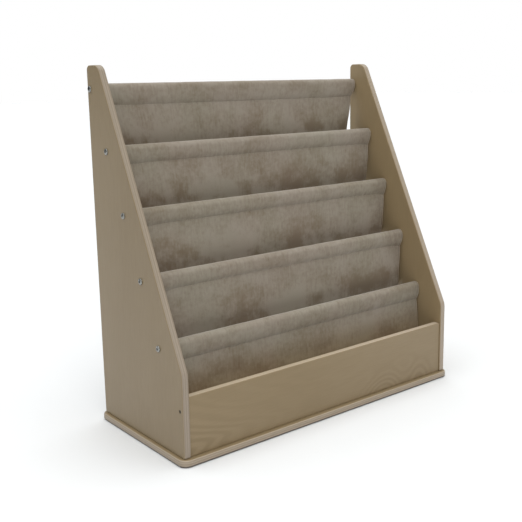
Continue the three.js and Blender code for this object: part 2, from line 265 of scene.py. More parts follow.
# Lamps: name, place, aim, size, power and colour
LAMPS = [
    ("front_light", (-1.7, -3.2, 1.9), (0, 0, 0.4), (2.0, 1.6), 27, (1.0, 0.96, 0.88)),
    ("left_fill", (-3.2, 0.4, 1.3), (0, 0, 0.35), (2.4, 2.0), 2, (0.7, 0.87, 1.0)),
]


# Making and shaping pieces

def activate(piece):
    """Makes a piece the only one selected, and the active one."""
    bpy.ops.object.select_all(action="DESELECT")
    piece.select_set(True)
    bpy.context.view_layer.objects.active = piece


def settle(piece, name):
    """Names a new piece and puts its place, turn and scale into its mesh."""
    activate(piece)
    bpy.ops.object.transform_apply(location=True, rotation=True, scale=True)
    piece.name = piece.data.name = name
    return piece


def add_box(name, low, high):
    """A box between two corners."""
    low, high = Vector(low), Vector(high)
    bpy.ops.mesh.primitive_cube_add(size=1, location=(low + high) / 2, scale=high - low)
    return settle(bpy.context.object, name)


def add_round(name, start, end, radius, end_radius=None, sides=48):
    """A cylinder, or a cone where the radii differ, between two points."""
    start, end = Vector(start), Vector(end)
    end_radius = radius if end_radius is None else end_radius
    turn = (end - start).to_track_quat("Z", "Y").to_euler()
    bpy.ops.mesh.primitive_cone_add(
        vertices=sides, radius1=radius, radius2=end_radius, depth=(end - start).length,
        location=(start + end) / 2, rotation=turn)
    return settle(bpy.context.object, name)


@contextmanager
def editing(piece):
    """Edit mode on one piece."""
    activate(piece)
    bpy.ops.object.mode_set(mode="EDIT")
    yield
    bpy.ops.object.mode_set(mode="OBJECT")


def choose(piece, kind, wanted):
    """In edit mode, selects just the vertices, edges or faces that pass a test."""
    bpy.ops.mesh.select_mode(type=kind)
    bpy.ops.mesh.select_all(action="DESELECT")
    mesh = bmesh.from_edit_mesh(piece.data)
    elements = {"VERT": mesh.verts, "EDGE": mesh.edges, "FACE": mesh.faces}[kind]
    for element in elements:
        if wanted(element):
            element.select_set(True)
    mesh.select_flush_mode()
    bmesh.update_edit_mesh(piece.data)


def near(a, b):
    return abs(a - b) < TOLERANCE


def lies_at(axis, *places):
    """A test for edges and faces that lie wholly in a plane across an axis, at any of the places."""
    return lambda element: any(all(near(v.co[axis], place) for v in element.verts) for place in places)


def runs_along(axis):
    """A test for straight edges that run along an axis."""
    def test(edge):
        run = edge.verts[0].co - edge.verts[1].co
        return run.length > MM and abs(run[axis]) > ALONG * run.length
    return test


def round_edges(piece, wanted, offset, segments):
    """Rounds the edges that pass a test."""
    with editing(piece):
        choose(piece, "EDGE", wanted)
        bpy.ops.mesh.bevel(
            offset=offset, offset_type="OFFSET", segments=segments, profile=0.5, affect="EDGES")


def apply_modifier(piece, kind, **settings):
    """Adds a modifier to a piece and applies it."""
    activate(piece)
    modifier = piece.modifiers.new(kind.lower(), kind)
    for key, value in settings.items():
        setattr(modifier, key, value)
    bpy.ops.object.modifier_apply(modifier=modifier.name)


def extrude(move):
    """In edit mode, draws out what is selected."""
    bpy.ops.mesh.extrude_region_move(TRANSFORM_OT_translate={"value": move})


def carve(piece, cutters):
    """Cuts the cutters out of a piece and throws them away."""
    for cutter in cutters:
        apply_modifier(piece, "BOOLEAN", object=cutter, operation="DIFFERENCE", solver="EXACT")
        bpy.data.objects.remove(cutter)


def smooth(piece, angle=35, weighted=True):
    """Smooth shading with crisp corners; weighted keeps big flat faces flat beside their rounded edges."""
    activate(piece)
    bpy.ops.object.shade_smooth_by_angle(angle=math.radians(angle))
    if weighted:
        apply_modifier(piece, "WEIGHTED_NORMAL", keep_sharp=True, weight=100)


def paint(piece, material):
    piece.data.materials.clear()
    piece.data.materials.append(material)


def place_in_frame(piece, slot, material, *nodes):
    """Rides a piece on the body, finishes it, and hides the solids it stands for. slot is not used."""
    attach(piece, ROOT)
    if nodes:
        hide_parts(*nodes)
    paint(piece, material)


def middle_of(node):
    """The middle of a solid's box."""
    low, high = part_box(node)
    return (low + high) / 2


# Shader nodes

def put(tree, kind, inputs=None, **settings):
    """Adds a node. An input is a value, or another node's output to link."""
    node = tree.nodes.new(kind)
    for key, value in settings.items():
        setattr(node, key, value)
    for key, value in (inputs or {}).items():
        socket = node.inputs[key]
        if isinstance(value, bpy.types.NodeSocket):
            tree.links.new(value, socket)
        else:
            socket.default_value = value
    return node


def link(kind, inputs, **settings):
    """Adds a node to the tree that its linked inputs are in."""
    linked = (value for value in inputs.values() if isinstance(value, bpy.types.NodeSocket))
    return put(next(linked).id_data, kind, inputs, **settings)


def calc(operation, *values):
    """A Math node's result."""
    return link("ShaderNodeMath", dict(enumerate(values)), operation=operation).outputs[0]


def times(first, second):
    return calc("MULTIPLY", first, second)


def plus(first, second):
    return calc("ADD", first, second)


def minus(first, second):
    return calc("SUBTRACT", first, second)


def blend(factor, first, second, mode="MIX"):
    """A colour between two colours."""
    inputs = {"Factor": factor, 6: first, 7: second}
    return link("ShaderNodeMix", inputs, data_type="RGBA", blend_type=mode).outputs[2]


def tinted(colour, tint):
    """A colour times a tint."""
    return blend(1.0, colour, tint, "MULTIPLY")


def spread(value, low, high, to_low=0.0, to_high=1.0, smooth_ends=True):
    """A value from low to high, moved to another range and kept inside it."""
    inputs = {"Value": value, "From Min": low, "From Max": high, "To Min": to_low, "To Max": to_high}
    kind = "SMOOTHSTEP" if smooth_ends else "LINEAR"
    return link("ShaderNodeMapRange", inputs, interpolation_type=kind).outputs[0]


def noise(where, scale, detail=2.0, rough=0.5, distortion=0.0):
    """Soft noise, from 0 to 1, at a place."""
    inputs = {"Vector": where, "Scale": scale, "Detail": detail, "Roughness": rough, "Distortion": distortion}
    return link("ShaderNodeTexNoise", inputs).outputs[0]


def stretched(where, factors):
    """A place scaled by a factor along each axis."""
    return link("ShaderNodeVectorMath", {0: where, 1: factors}, operation="MULTIPLY").outputs[0]


def grain(where, factors, detail, rough=0.5, distortion=0.0):
    """Soft noise drawn out by a factor along each axis."""
    return noise(stretched(where, factors), 1.0, detail, rough, distortion)


def stained(colour, field, low, high, strength, stain):
    """A colour with a stain where a field rises from low to high."""
    return blend(spread(field, low, high, 0.0, strength), colour, stain)


FLOAT, VECTOR, COLOUR = "NodeSocketFloat", "NodeSocketVector", "NodeSocketColor"
FINISH = {"Color": COLOUR, "Roughness": FLOAT, "Height": FLOAT}


def new_group(name, inputs):
    """An empty node group that gives a finish, with its input node's outputs."""
    group = bpy.data.node_groups.new(name, "ShaderNodeTree")
    for label, kind, value in inputs:
        socket = group.interface.new_socket(name=label, in_out="INPUT", socket_type=kind)
        if value is not None:
            socket.default_value = value
    for label, kind in FINISH.items():
        group.interface.new_socket(name=label, in_out="OUTPUT", socket_type=kind)
    return group, group.nodes.new("NodeGroupInput").outputs


def end_group(colour, roughness, height):
    """Gives a group's finish out."""
    link("NodeGroupOutput", dict(zip(FINISH, (colour, roughness, height))))


def use_group(tree, group, inputs):
    """A group's finish in a material."""
    node = put(tree, "ShaderNodeGroup", inputs, node_tree=group)
    return [node.outputs[label] for label in FINISH]


def object_place(tree):
    return put(tree, "ShaderNodeTexCoord").outputs["Object"]


def split(place):
    """A place's three parts."""
    return link("ShaderNodeSeparateXYZ", {0: place}).outputs


def new_material(name, **settings):
    """A material with its tree and its Principled shader, whose plain settings are set by name."""
    material = bpy.data.materials.new(name)
    material.use_nodes = True
    tree = material.node_tree
    shader = tree.nodes["Principled BSDF"]
    for key, value in settings.items():
        shader.inputs[key.replace("_", " ")].default_value = value
    return material, tree, shader


def feed(shader, colour, roughness, height, distance, strength):
    """Feeds colour, roughness and a height in the unit of distance to the shader."""
    relief = link("ShaderNodeBump", {"Height": height, "Distance": distance, "Strength": strength})
    fed = {"Base Color": colour, "Roughness": roughness, "Normal": relief.outputs[0]}
    for label, value in fed.items():
        if value is not None:
            shader.id_data.links.new(value, shader.inputs[label])


def make_plywood_group():
    """Plywood as a solid: face veneers with figure and fibres, and plies that show where it is cut.
    Its place has the grain along X, the veneer's width along Y and the board's thickness along Z,
    with the board's middle plane at zero. Swell raises the wood under the veneer, which rings the figure."""
    group, start = new_group("plywood", [
        ("Place", VECTOR, None), ("Half Thickness", FLOAT, 7.5 * MM), ("Figure", FLOAT, 0.1),
        ("Swell", FLOAT, 0.0), ("Veneer", FLOAT, VENEER), ("Edge Tone", COLOUR, PLAIN)])
    place = start["Place"]

    # Face: slow swirls of figure, fine fibres, and short pale and dark flecks
    swirl = grain(place, (1.8, 6.5, 1), 2.0, 0.45, 0.6)
    rings = calc("SINE", times(plus(swirl, start["Swell"]), RINGS))
    figure = spread(rings, -1.0, 1.0)
    fibres = grain(place, (28, 900, 900), 3.0, 0.6)
    flecks = spread(grain(place, (130, 1500, 1500), 1.0), 0.66, 0.78)
    tone = grain(place, (1.4, 5, 1), 3.0, 0.55)
    face = blend(spread(tone, 0.3, 0.7), (0.226, 0.163, 0.084, 1), (0.252, 0.186, 0.102, 1))
    face = blend(times(figure, start["Figure"]), face, (0.176, 0.12, 0.055, 1))
    face = stained(face, fibres, 0.35, 0.75, 0.2, (0.175, 0.12, 0.057, 1))
    face = blend(times(flecks, 0.15), face, (0.145, 0.098, 0.046, 1))

    # Edge: plies with long grain are pale, those cut across are a little darker and open
    wobble = grain(place, (25, 25, 60), 2.0)
    wander = spread(wobble, 0.0, 1.0, -0.2 * MM, 0.2 * MM)
    depth = calc("ABSOLUTE", plus(split(place)["Z"], wander))
    share = calc("DIVIDE", depth, start["Half Thickness"])
    plies = link("ShaderNodeValToRGB", {0: share})
    pale, dark, glue = (0.338, 0.275, 0.205, 1), (0.268, 0.211, 0.147, 1), (0.2, 0.153, 0.104, 1)
    bands = [(0.0, 0.155, dark), (0.185, 0.465, pale), (0.495, 0.775, dark), (0.805, 1.0, pale)]
    ramp = plies.color_ramp
    ramp.elements[0].color = dark
    ramp.elements[-1].color = pale
    for begin, finish, colour in bands:
        for spot in (begin, finish):
            if 0 < spot < 1:
                ramp.elements.new(spot).color = colour
        if finish < 1:
            ramp.elements.new(finish + GLUE_LINE).color = glue
    pores = noise(place, 2600.0, 2.0, 0.7)
    lines = grain(place, (60, 60, 1800), 2.0)
    streaks = grain(place, (9, 9, 420), 2.0)
    edge = stained(plies.outputs[0], streaks, 0.35, 0.65, 0.5, (0.292, 0.237, 0.175, 1))
    edge = stained(edge, pores, 0.45, 0.8, 0.25, (0.2, 0.15, 0.1, 1))
    edge = stained(edge, lines, 0.4, 0.8, 0.2, (0.24, 0.18, 0.125, 1))
    edge = tinted(edge, start["Edge Tone"])

    skin = minus(minus(start["Half Thickness"], start["Veneer"]), depth)
    cut = spread(skin, 0.0, VENEER)
    satin = plus(spread(fibres, 0.2, 0.8, 0.44, 0.58), times(cut, 0.1))
    relief = minus(times(fibres, 0.6), times(flecks, 0.5))
    end_group(blend(cut, face, edge), satin, minus(relief, times(pores, cut)))
    return group


def make_swell(along, across, centre, reach):
    """A soft oval swelling in the plane of the face: 1 at its centre, nothing at its reach."""
    offsets = [calc("DIVIDE", minus(part, middle), size)
               for part, middle, size in zip((along, across), centre, reach)]
    distance = calc("SQRT", plus(*[times(offset, offset) for offset in offsets]))
    return spread(distance, 0.0, 1.0, 1.0, 0.0)


def make_plywood(name, group, order, middle, mirrored=False, figure=FIGURE, swells=(), light_gradient=None,
                 contact_shadow=False, veneer=VENEER, edge_tone=PLAIN):
    """A board's plywood. order gives the axes of grain, veneer width and thickness, middle the middle plane.
    mirrored serves two boards at one distance either side of the origin, and paints the left one darker than
    the right as painted light. The board can be painted paler along its grain as painted light, and its lower
    rim can be painted dark as a painted contact shadow."""
    material, tree, shader = new_material(
        name, Specular_IOR_Level=0.4, Coat_Weight=0.3, Coat_Roughness=0.28, Coat_IOR=1.45)
    parts = split(object_place(tree))
    along, across, through = (parts[axis] for axis in order)
    swell = 0.0
    for centre, reach, height in swells:
        oval = make_swell(along, across, centre, reach)
        swell = plus(swell, times(oval, height))
        figure = plus(figure, times(oval, SWELL_FIGURE))
    if mirrored:
        side = calc("SIGN", through)
        # Painted light: the left board is painted darker and the right one lighter
        tone = plus(1.0, times(side, SIDE_PAINTED_LIGHT))
        across = plus(across, side)
        through = calc("ABSOLUTE", through)
    through = minus(through, middle)
    place = link("ShaderNodeCombineXYZ", {0: along, 1: across, 2: through}).outputs[0]
    colour, roughness, height = use_group(tree, group, {
        "Place": place, "Figure": figure, "Swell": swell, "Veneer": veneer, "Edge Tone": edge_tone})
    # Painted light: the board is painted paler towards one end of its grain
    if light_gradient:
        colour = blend(spread(along, *light_gradient), colour, tinted(colour, LIGHT_GRADIENT_TINT))
    # Painted light: each side panel takes the tone painted for the light on it
    if mirrored:
        colour = tinted(colour, tone)
    # Painted shadow: the lower rim is painted dark as the contact shadow on the floor
    if contact_shadow:
        rim = spread(parts["Z"], *CONTACT_SHADOW_RIM, 1.0, 0.0)
        colour = blend(rim, colour, CONTACT_SHADOW_COLOUR)
    feed(shader, colour, roughness, height, 0.06 * MM, 0.6)
    return material


def make_solid_wood():
    """Plain hardwood of the rods and the batten, with its grain along X."""
    material, tree, shader = new_material("solid_wood")
    where = object_place(tree)
    fibres = grain(where, (22, 700, 700), 3.0, 0.6)
    bands = grain(where, (3, 160, 160), 2.0)
    colour = blend(bands, (0.43, 0.33, 0.2, 1), (0.52, 0.42, 0.28, 1))
    colour = stained(colour, fibres, 0.35, 0.8, 0.4, (0.30, 0.21, 0.12, 1))
    feed(shader, colour, spread(fibres, 0.2, 0.8, 0.5, 0.65), fibres, 0.05 * MM, 0.7)
    return material


def make_suede_group():
    """Mottled suede cloth: soft cloudy blotches, brushed streaks and a short nap, laid out on the cut cloth.
    Its tint changes from the sleeve to the wall, and low down it is painted darker and browner as painted
    shade and bounce light. Its low corners are painted darker as painted shade, and its folded side edges
    paler as a painted highlight."""
    group, start = new_group("suede", [
        ("Place", VECTOR, None), ("Roll Place", VECTOR, None), ("Half Width", FLOAT, 0.35),
        ("Darkens From", FLOAT, 0.1), ("Darkens To", FLOAT, 0.2), ("Low Shade Tint", COLOUR, PLAIN),
        ("Low Clouding", FLOAT, 1.0)])
    parts = split(start["Place"])
    places = {0: start["Place"], 1: start["Roll Place"]}
    where = link("ShaderNodeVectorMath", places, operation="ADD").outputs[0]
    clouds = noise(stretched(where, (1.0, 1.3, 1.0)), 8.5, 3.0, 0.5, 0.5)
    blotches = noise(where, 26.0, 3.0, 0.5, 0.5)
    brushed = grain(where, (230, 36, 1), 2.0, 0.5, 0.6)
    speckle = noise(where, 110.0, 3.0, 0.6, 0.4)
    hue = noise(where, 7.0, 2.0)
    nap = noise(where, 1500.0, 3.0, 0.7)
    # Painted shade and bounce light: low down the cloth is painted darker and browner
    low = spread(parts["Y"], start["Darkens From"], start["Darkens To"])
    to_edge = minus(start["Half Width"], calc("ABSOLUTE", parts["X"]))
    # Painted shade in the low corners
    corner = times(spread(to_edge, 0.0, CORNER_WIDTH, CORNER_SHADE, 0.0), spread(parts["Y"], *CORNER_HEIGHT))
    shade = spread(low, 0.0, 1.0, *CLOTH_SHADES, smooth_ends=False)
    mottle = minus(shade, corner)
    clouding = spread(low, 0.0, 0.8, SLEEVE_CLOUDING, start["Low Clouding"], smooth_ends=False)
    clouding = spread(parts["Y"], *DEEP_FROM, clouding, DEEP_CLOUDING)
    for field, share in ((clouds, 0.44), (blotches, 0.22), (speckle, 0.2), (brushed, 0.14)):
        offset = times(minus(field, 0.5), share)
        if field in (clouds, blotches):
            offset = times(offset, clouding)
        mottle = plus(mottle, offset)
    mottling = spread(mottle, 0.37, 0.63)
    colour = blend(mottling, (0.188, 0.143, 0.101, 1), (0.296, 0.256, 0.213, 1))
    tint = blend(spread(hue, 0.35, 0.65), (0.98, 1.0, 0.97, 1), (1.0, 0.985, 0.98, 1))
    colour = tinted(tinted(colour, tint), blend(low, SLEEVE_TINT, start["Low Shade Tint"]))
    colour = stained(colour, nap, 0.35, 0.75, 0.28, (0.15, 0.12, 0.085, 1))
    # Painted highlight along the folded side edges
    painted_highlight = spread(to_edge, *HEM_HIGHLIGHT, 1.0, 0.0)
    colour = blend(painted_highlight, colour, tinted(colour, HEM_HIGHLIGHT_TINT))
    relief = plus(times(nap, 0.55), times(brushed, 0.45))
    end_group(colour, spread(mottle, 0.3, 0.7, 0.98, 0.86), relief)
    return group


def make_suede(name, group, roll_place, darkens, low_shade_tint, low_clouding):
    """The suede of one cloth, cut from its own place along the roll."""
    material, tree, shader = new_material(name, Sheen_Weight=0.6, Sheen_Roughness=0.4, Specular_IOR_Level=0.2)
    shader.inputs["Sheen Tint"].default_value = (1.0, 0.97, 0.92, 1)
    place = put(tree, "ShaderNodeUVMap", uv_map=CLOTH_MAP).outputs[0]
    finish = use_group(tree, group, {
        "Place": place, "Roll Place": (roll_place, ROLL_MARGIN, 0), "Half Width": cloth_half_width(),
        "Darkens From": darkens[0], "Darkens To": darkens[1], "Low Shade Tint": low_shade_tint,
        "Low Clouding": low_clouding})
    feed(shader, *finish, 0.25 * MM, 0.5)
    return material


def make_thread():
    """Twisted sewing thread, a little paler than the cloth."""
    material, tree, shader = new_material("thread", Roughness=0.7, Sheen_Weight=0.2)
    strands = noise(object_place(tree), 3500.0, 1.0)
    colour = blend(strands, (0.25, 0.21, 0.16, 1), (0.4, 0.35, 0.28, 1))
    feed(shader, colour, None, strands, 0.1 * MM, 0.6)
    return material


def make_metal(name, dark, light, roughness, metallic):
    """Plated or blackened steel with fine spots of wear."""
    material, tree, shader = new_material(name, Metallic=metallic)
    where = object_place(tree)
    cloud = noise(where, 420.0, 4.0, 0.6)
    pits = noise(where, 2600.0, 2.0, 0.6)
    polish = spread(cloud, 0.3, 0.7, roughness - 0.06, roughness + 0.1)
    feed(shader, blend(cloud, dark, light), polish, pits, 0.03 * MM, 0.4)
    return material


# Boards

def outline_offset(radius, corner, before, after):
    """How far from a corner its rounding starts, for a radius, in a flat outline."""
    first = (Vector(before) - Vector(corner)).normalized()
    second = (Vector(after) - Vector(corner)).normalized()
    return radius / math.tan(first.angle(second) / 2)


def make_board(node, name, slot, material, axis, corner, edge, screws):
    """A board that lies across an axis, with rounded corners and edges and its screws' holes."""
    low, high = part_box(node)
    board = add_box(name, low, high)
    round_edges(board, runs_along(axis), *corner)
    round_edges(board, lies_at(axis, low[axis], high[axis]), *edge)
    carve(board, [screw_hole(screw) for screw in screws])
    smooth(board)
    place_in_frame(board, slot, material, node)


def make_side_panel(side, material):
    """A side: upright back, flat top, slanted front edge, soft knee and upright front."""
    low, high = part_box(f"side_panel_{side}")
    knee = (low.y, low.z + SIDE_KNEE_HEIGHT)
    top_front = (high.y - SIDE_TOP_DEPTH, high.z)
    panel = add_box(f"side_{side}", low, high)
    slant = Vector((0, top_front[0] - knee[0], top_front[1] - knee[1])).normalized()
    with editing(panel):
        bpy.ops.mesh.select_all(action="SELECT")
        bpy.ops.mesh.bisect(
            plane_co=(0, *knee), plane_no=(0, -slant.z, slant.y), use_fill=True, clear_outer=True)
    outline = [(low.y, low.z), (high.y, low.z), (high.y, high.z), top_front, knee]
    for index, (radius, segments) in enumerate(SIDE_ROUNDINGS):
        corner = outline[index]
        offset = outline_offset(radius, corner, outline[index - 1], outline[(index + 1) % len(outline)])

        def at_corner(edge, corner=corner):
            return all(near(v.co.y, corner[0]) and near(v.co.z, corner[1]) for v in edge.verts)

        round_edges(panel, at_corner, offset, segments)
    round_edges(panel, lies_at(0, low.x, high.x), *SIDE_EDGE)
    cutters = [bolt_hole(side, number) for number in rod_numbers()]
    cutters += [screw_hole(name) for name in (f"front_screw_{side}", *base_screw_names(side))]
    carve(panel, cutters)
    smooth(panel)
    place_in_frame(panel, "plywood", material, f"side_panel_{side}")


# Rods, bolts and screws

def rod_numbers():
    return range(1, ROD_COUNT + 1)


def rod_centre(number):
    return middle_of(f"rod_{number}")


def make_rod(number, material):
    """A round wooden rod, its ends rounded and bored for the insert and the bolt's tip."""
    low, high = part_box(f"rod_{number}")
    centre = rod_centre(number)
    ends = [Vector((x, centre.y, centre.z)) for x in (low.x, high.x)]
    rod = add_round(f"rod_wood_{number}", *ends, (high.z - low.z) / 2)
    round_edges(rod, lies_at(0, low.x, high.x), *ROD_END_ROUNDING)
    for end, inwards in zip(ends, (1, -1)):
        bores = [(INSERT_HOLE_RADIUS, INSERT_HOLE_DEPTH), (ROD_BORE_RADIUS, ROD_BORE_DEPTH)]
        outside = end - Vector((inwards * OVERRUN, 0, 0))
        carve(rod, [add_round("bore", outside, end + Vector((inwards * depth, 0, 0)), radius)
                    for radius, depth in bores])
    smooth(rod)
    place_in_frame(rod, "solid_wood", material, f"rod_{number}")


def bolt_hole(side, number):
    """A cutter for a bolt's hole through a side."""
    low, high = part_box(f"side_panel_{side}")
    centre = rod_centre(number)
    ends = [(low.x - OVERRUN, centre.y, centre.z), (high.x + OVERRUN, centre.y, centre.z)]
    return add_round("bolt_hole", *ends, BOLT_HOLE_RADIUS, sides=BOLT_HOLE_FACETS)


def make_bolt(side, number, material):
    """A connector bolt: a low rounded head with a hexagon socket, and its shank."""
    node = f"rod_bolt_{side}_{number}"
    sign = SIDES[side]
    centre = rod_centre(number)
    low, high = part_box(node)
    head_face = low.x if sign < 0 else high.x
    seat = head_face - sign * BOLT_HEAD_HEIGHT

    def on_axis(x):
        return Vector((x, centre.y, centre.z))

    rim_face = head_face - sign * sum(rise for _, rise in BOLT_DOME_STEPS)
    bolt = add_round(f"bolt_{side}_{number}", on_axis(seat), on_axis(rim_face), BOLT_HEAD_RADIUS)
    round_edges(bolt, lies_at(0, rim_face), *BOLT_HEAD_ROUNDING)
    with editing(bolt):
        choose(bolt, "FACE", lies_at(0, rim_face))
        for step, rise in BOLT_DOME_STEPS:
            bpy.ops.mesh.inset(thickness=step, depth=rise)
        choose(bolt, "FACE", lies_at(0, seat))
        bpy.ops.mesh.inset(thickness=BOLT_HEAD_RADIUS - BOLT_RADIUS)
        shank = -sign * (BOLT_LENGTH - BOLT_TIP)
        extrude((shank, 0, 0))
        extrude((-sign * BOLT_TIP, 0, 0))
        tip = on_axis(seat + shank - sign * BOLT_TIP)
        bpy.ops.transform.resize(value=(1, BOLT_TIP_SHARE, BOLT_TIP_SHARE), center_override=tip)
    mouth = on_axis(head_face + sign * OVERRUN)
    floor = on_axis(head_face - sign * BOLT_SOCKET_DEPTH)
    carve(bolt, [add_round("socket", mouth, floor, BOLT_SOCKET_RADIUS, sides=6)])
    smooth(bolt, angle=30, weighted=False)
    place_in_frame(bolt, "zinc_plate", material, node)


def base_screw_names(held=""):
    """The screws under the base board, all or just those of the part that they hold."""
    return sorted(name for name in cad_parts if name.startswith(f"base_screw_{held}"))


def screw_facts(name):
    """A screw's head centre, direction, length, head radius and shank radius, from its solid."""
    low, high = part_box(name)
    size = high - low
    axis = max(range(3), key=lambda i: size[i])
    inwards = Vector([0, 0, 0])
    inwards[axis] = 1 if name.startswith("base") or "left" in name else -1
    head = middle_of(name) - inwards * size[axis] / 2
    head_radius = min(size) / 2
    shank_share = BASE_SHANK_SHARE if name.startswith("base") else FRONT_SHANK_SHARE
    return head, inwards, size[axis], head_radius, head_radius * shank_share


def screw_hole(name):
    """A cutter for a countersunk hole, a little wider than its screw."""
    head, inwards, length, head_radius, shank_radius = screw_facts(name)
    wide = head_radius + SCREW_CLEARANCE
    narrow = shank_radius + SCREW_CLEARANCE
    hole = add_round("screw_hole", head - inwards * OVERRUN, head, wide, sides=SCREW_FACETS)
    with editing(hole):
        lengthen(hole, inwards, SCREW_CONE, narrow / wide)
        lengthen(hole, inwards, length - SCREW_CONE, 1)
    return hole


def lengthen(piece, direction, depth, factor):
    """In edit mode, draws out the face that is farthest along a direction, and scales the new end."""
    mesh = bmesh.from_edit_mesh(piece.data)
    reach = max(vertex.co.dot(direction) for vertex in mesh.verts)
    choose(piece, "FACE", lambda face: all(near(v.co.dot(direction), reach) for v in face.verts))
    extrude(direction * depth)
    mesh = bmesh.from_edit_mesh(piece.data)
    chosen = [vertex.co for vertex in mesh.verts if vertex.select]
    value = [1 if part else factor for part in direction]
    bpy.ops.transform.resize(value=value, center_override=sum(chosen, Vector()) / len(chosen))


def make_screw(name, slot, material):
    """A countersunk screw with a cross recess."""
    head, inwards, length, head_radius, shank_radius = screw_facts(name)
    cone_end = head + inwards * SCREW_CONE
    own_name = name.replace("screw", "countersunk")
    screw = add_round(own_name, head, cone_end, head_radius, shank_radius, sides=SCREW_FACETS)
    with editing(screw):
        lengthen(screw, inwards, length - SCREW_CONE - SCREW_TIP, 1)
        lengthen(screw, inwards, SCREW_TIP, SCREW_TIP_SHARE)
    flat_axes = [axis for axis in range(3) if not inwards[axis]]
    cutters = []
    for long_axis, short_axis in (flat_axes, flat_axes[::-1]):
        half = Vector([SCREW_RECESS_DEPTH] * 3)
        half[long_axis] = head_radius / 2
        half[short_axis] = SCREW_RECESS_WIDTH / 2
        cutters.append(add_box("recess", head - half, head + half))
    carve(screw, cutters)
    smooth(screw, weighted=False)
    place_in_frame(screw, slot, material, name)


# Cloth

def soft_field(across, along, wavelength, seed):
    """A smooth random field over the cloth, mostly between -1 and 1."""
    random = np.random.default_rng(seed)
    field = np.zeros(np.broadcast(across, along).shape)
    for _ in range(FIELD_WAVES):
        angle, phase = random.uniform(0, 2 * math.pi, 2)
        length = wavelength * random.uniform(*FIELD_LENGTHS)
        run = across * math.cos(angle) + along * math.sin(angle)
        field += np.cos(2 * math.pi * run / length + phase)
    return field / math.sqrt(2 * FIELD_WAVES)


def rising(distance, reach):
    """From 0 at no distance to 1 at the reach and past it."""
    return np.clip(distance / reach, 0, 1)


def bell(distance, width):
    return np.exp(-((distance / width) ** 2))


def near_to(distance, reach):
    """1 at no distance, fading to nothing past the reach."""
    return np.exp(-np.abs(distance) / reach)


def arc(centre, radius, start, end, count=40):
    """Points on an arc in (y, z), angles in radians from +Y towards +Z."""
    angles = np.linspace(start, end, count)
    return [(centre[0] + radius * math.cos(a), centre[1] + radius * math.sin(a)) for a in angles]


def curve(start, start_pull, end, end_pull, count=24):
    """A smooth curve in (y, z) between two points, each with the pull that sets its direction there."""
    t = np.linspace(0, 1, count)[:, None]
    start, end = np.array(start), np.array(end)
    first, second = start + start_pull, end - np.array(end_pull)
    u = 1 - t
    points = u ** 3 * start + 3 * u ** 2 * t * first + 3 * u * t ** 2 * second + t ** 3 * end
    return [tuple(point) for point in points]


def cloth_half_width():
    """Half the width of a hemmed cloth, which fills the space between the sides."""
    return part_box("side_panel_right")[0].x - CLOTH_SIDE_GAP


def seam_drop(number):
    """How far below its rod a sleeve's seam is in the middle of the cloth."""
    return SEAM_DROP - SEAM_RISES[number - 1]


def sleeve_points(number):
    """The cloth's middle line in (y, z): up from its end behind the seam, over the rod, and down to the seam.
    The sleeve is roomy, so it stands out in front before it turns in to the seam."""
    rod = rod_centre(number)
    wall_y = rod.y - SEAM_FORWARD
    seam_z = rod.z - seam_drop(number)
    behind = (wall_y + SEAM_LAYER, seam_z)
    tail = (behind[0], seam_z - SEAM_ALLOWANCE)
    over = arc((rod.y, rod.z), SLEEVE_RADIUS, SLEEVE_LEAVES_BACK, math.pi)
    rise = (-math.sin(SLEEVE_LEAVES_BACK), math.cos(SLEEVE_LEAVES_BACK))
    back = curve(behind, np.multiply(SEAM_PULL, (1, 1)), over[0], np.multiply(rise, BULGE_PULL / 2))
    front = curve(over[-1], (-SLEEVE_BULGE, -BULGE_PULL), (wall_y, seam_z), np.multiply(SEAM_PULL, (1, -1)))
    return [tail, *back, *over[1:-1], *front]


def pocket_points(number):
    """A sling's middle line from its seam down, round the pocket's bottom and up behind the next sleeve."""
    low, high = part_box(f"sling_{number}")
    rod, next_rod = rod_centre(number), rod_centre(number + 1)
    rear_y = rod.y - SEAM_FORWARD
    front_y = next_rod.y - SEAM_FORWARD + 2 * SEAM_LAYER
    radius = (rear_y - front_y) / 2
    centre = ((rear_y + front_y) / 2, low.z + CLOTH_THICKNESS / 2 + radius)
    top = (front_y, next_rod.z - seam_drop(number + 1) + WALL_END_RISE)
    begin = (rear_y, rod.z - WALL_FROM * SEAM_DROP)
    return [begin, (rear_y, centre[1]), *arc(centre, radius, 0, -math.pi), top]


def bin_points():
    """The middle line of the lowest cloth: down to the batten, down its face and back under it."""
    batten_low, batten_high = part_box("bin_batten")
    base_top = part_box("base_board")[1].z
    face_y = batten_low.y - SEAT_GAP - CLOTH_THICKNESS / 2
    lay_z = base_top + SEAT_GAP + CLOTH_THICKNESS / 2
    bend = 2 * CLOTH_THICKNESS
    corner = arc((face_y + bend, lay_z + bend), bend, math.pi, 1.5 * math.pi, 8)
    end = (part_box("bin_back_cloth")[1].y, lay_z)
    return [(face_y, batten_high.z + CLOTH_THICKNESS), *corner, end]


def resample(points, spacing_at):
    """The line's points at steps along it, its corners softened a little, and the length along it at each."""
    points = np.array(points)
    steps = np.hypot(*np.diff(points, axis=0).T)
    reach = np.concatenate([[0], np.cumsum(steps)])
    fine = np.arange(0, reach[-1], LINE_STEP)
    line = np.stack([np.interp(fine, reach, points[:, axis]) for axis in (0, 1)], 1)
    half = SOFTENING // 2
    window = np.hanning(SOFTENING)
    window /= window.sum()
    padded = np.concatenate([2 * line[0] - line[half:0:-1], line, 2 * line[-1] - line[-2:-half - 2:-1]])
    line = np.stack([np.convolve(padded[:, axis], window, "valid") for axis in (0, 1)], 1)
    stops, s = [], 0.0
    while s < fine[-1]:
        stops.append(s)
        s += spacing_at(s)
    stops = np.array([*stops, fine[-1]])
    return np.stack([np.interp(stops, fine, line[:, axis]) for axis in (0, 1)], 1), stops


